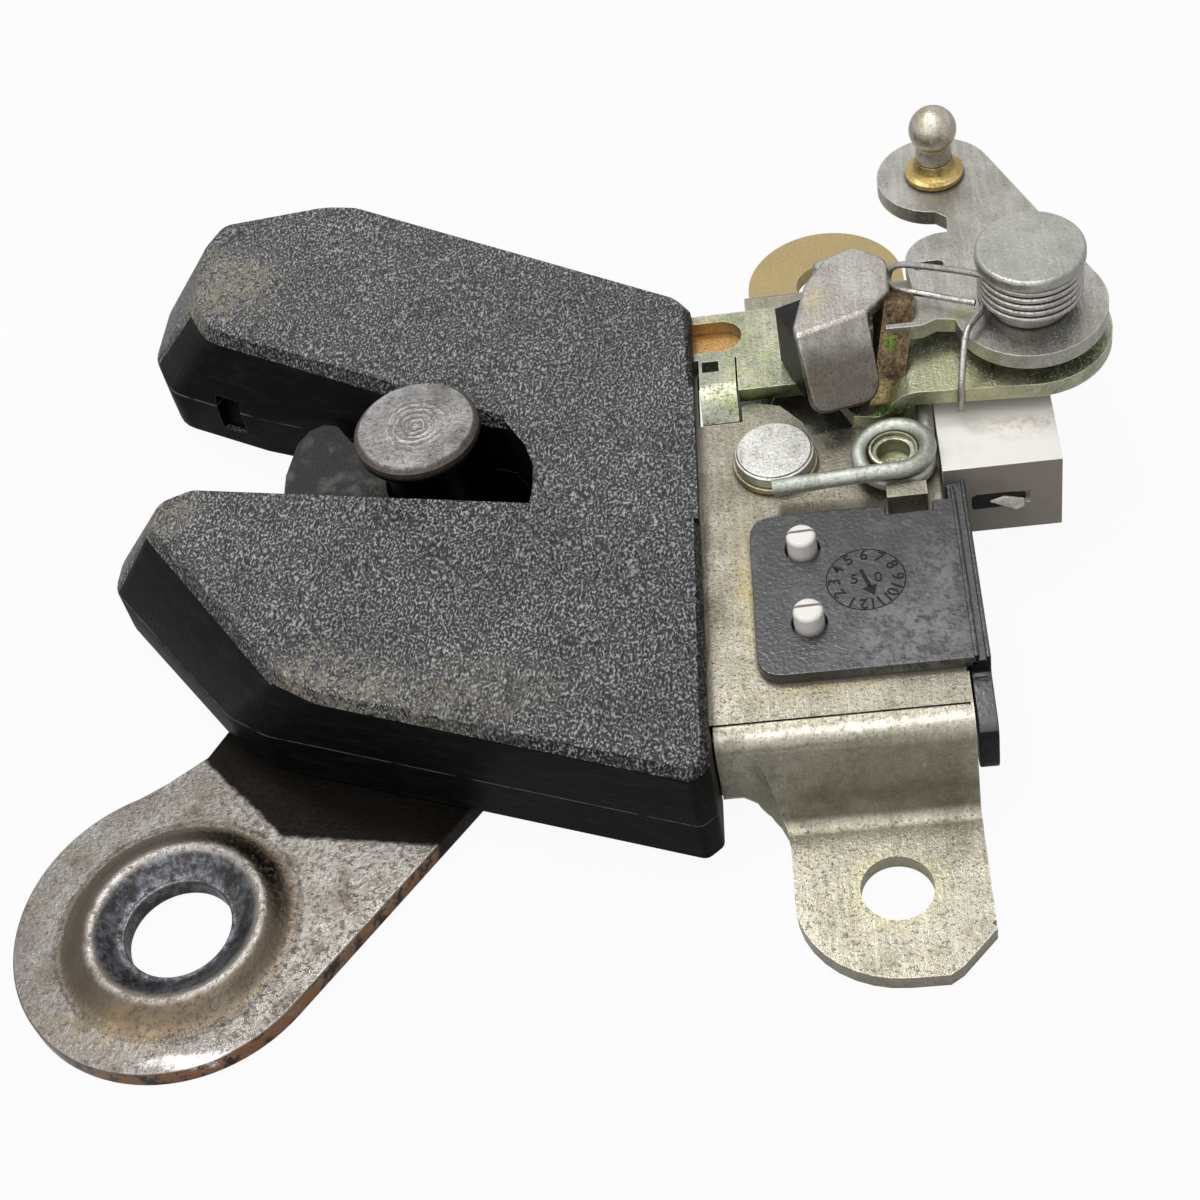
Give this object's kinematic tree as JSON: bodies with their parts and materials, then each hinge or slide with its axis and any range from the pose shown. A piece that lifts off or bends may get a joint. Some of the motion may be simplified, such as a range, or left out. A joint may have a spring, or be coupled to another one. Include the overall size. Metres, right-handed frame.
{
  "type": "electric trunk lock",
  "caption": "Boot lid latch with a V-shaped mouth, hooked catch, sprung release lever with ball stud, switch and connector, closed on its striker.",
  "frame": {"origin": "axis of the lower mounting ear's hole, on the plane that the ears and the striker plate stand on", "axes": "+Z out of the ears' seat towards the cover's face, +X from the mouth towards the release lever, +Y from the lower ear towards the upper ear"},
  "size_m": [0.1281, 0.1202, 0.0337],
  "materials": {
    "zinc_plate": "zinc plated, yellow-green tint",
    "yellow_chromate": "yellow chromate",
    "rusty_steel": "plain steel, rusty cut edge",
    "cover_plastic": "leather-grain black plastic",
    "catch_coat": "dark plastic-coated steel",
    "spring_wire": "zinc plated wire",
    "pawl_steel": "oiled steel",
    "rivet_zinc": "pale zinc, spotted",
    "green_chromate": "green chromate",
    "claw_steel": "bare steel, browned face",
    "black_plastic": "black plastic",
    "lever_zinc": "satin zinc",
    "rivet_steel": "turned steel",
    "thin_wire": "bright wire",
    "ball_steel": "turned steel",
    "brass_collar": "yellow chromate, brass-like",
    "switch_black": "satin black moulding",
    "connector_white": "warm white moulding",
    "plunger_red": "red moulding",
    "contact_brass": "brass",
    "striker_steel": "dark steel with rust",
    "pin_steel": "turned steel, rusty rim"
  },
  "bodies": {
    "frame": {"base_plate": "zinc_plate", "ear_lower": "zinc_plate", "ear_upper": "yellow_chromate", "back_plate": "rusty_steel", "cover": "cover_plastic", "catch_pivot": "zinc_plate", "catch_spring": "spring_wire", "spring_post": "zinc_plate", "pawl_pivot": "rivet_zinc", "pivot_washer": "yellow_chromate", "pawl_spring": "spring_wire", "spring_boss": "green_chromate", "lever_bracket": "green_chromate", "bracket_rivets": "zinc_plate", "lever_rivet": "rivet_steel", "lever_spring": "thin_wire", "switch_cover": "switch_black", "switch_housing": "connector_white", "switch_contacts": "contact_brass", "striker_plate": "striker_steel", "striker_pin": "pin_steel"},
    "lever": {"release_lever": "lever_zinc", "ball_stud": "ball_steel", "ball_collar": "brass_collar"},
    "pawl": {"pawl": "pawl_steel", "claw": "claw_steel", "claw_insert": "black_plastic"},
    "catch": {"catch": "catch_coat"},
    "plunger": {"switch_plunger": "plunger_red"}
  },
  "joints": [
    {"name": "lever_turn", "type": "hinge", "parent": "frame", "child": "lever", "pos_m": [0.0218, 0.0624, 0.0235], "axis": [0, 0, -1], "range_deg": [0, 12], "stiffness_Nm_per_rad": 0.12, "deforming": ["lever_spring"]},
    {"name": "pawl_turn", "type": "hinge", "parent": "frame", "child": "pawl", "pos_m": [-0.0089, 0.0507, 0.0094], "axis": [0, 0, 1], "range_deg": [0, 6], "stiffness_Nm_per_rad": 0.2, "deforming": ["pawl_spring"]},
    {"name": "catch_turn", "type": "hinge", "parent": "frame", "child": "catch", "pos_m": [-0.058, 0.038, 0.0095], "axis": [0, 0, 1], "range_deg": [0, 36], "deforming": ["catch_spring"]},
    {"name": "plunger_slide", "type": "slide", "parent": "frame", "child": "plunger", "axis": [0, 1, 0], "range_m": [0, 0.0008], "stiffness_N_per_m": 20}
  ],
  "couplings": [
    {"joint": "pawl_turn", "follows": "lever_turn", "ratio": 0.5},
    {"joint": "catch_turn", "follows": "lever_turn", "ratio": 3},
    {"joint": "plunger_slide", "follows": "lever_turn", "m_per_rad": 0.0038196}
  ]
}
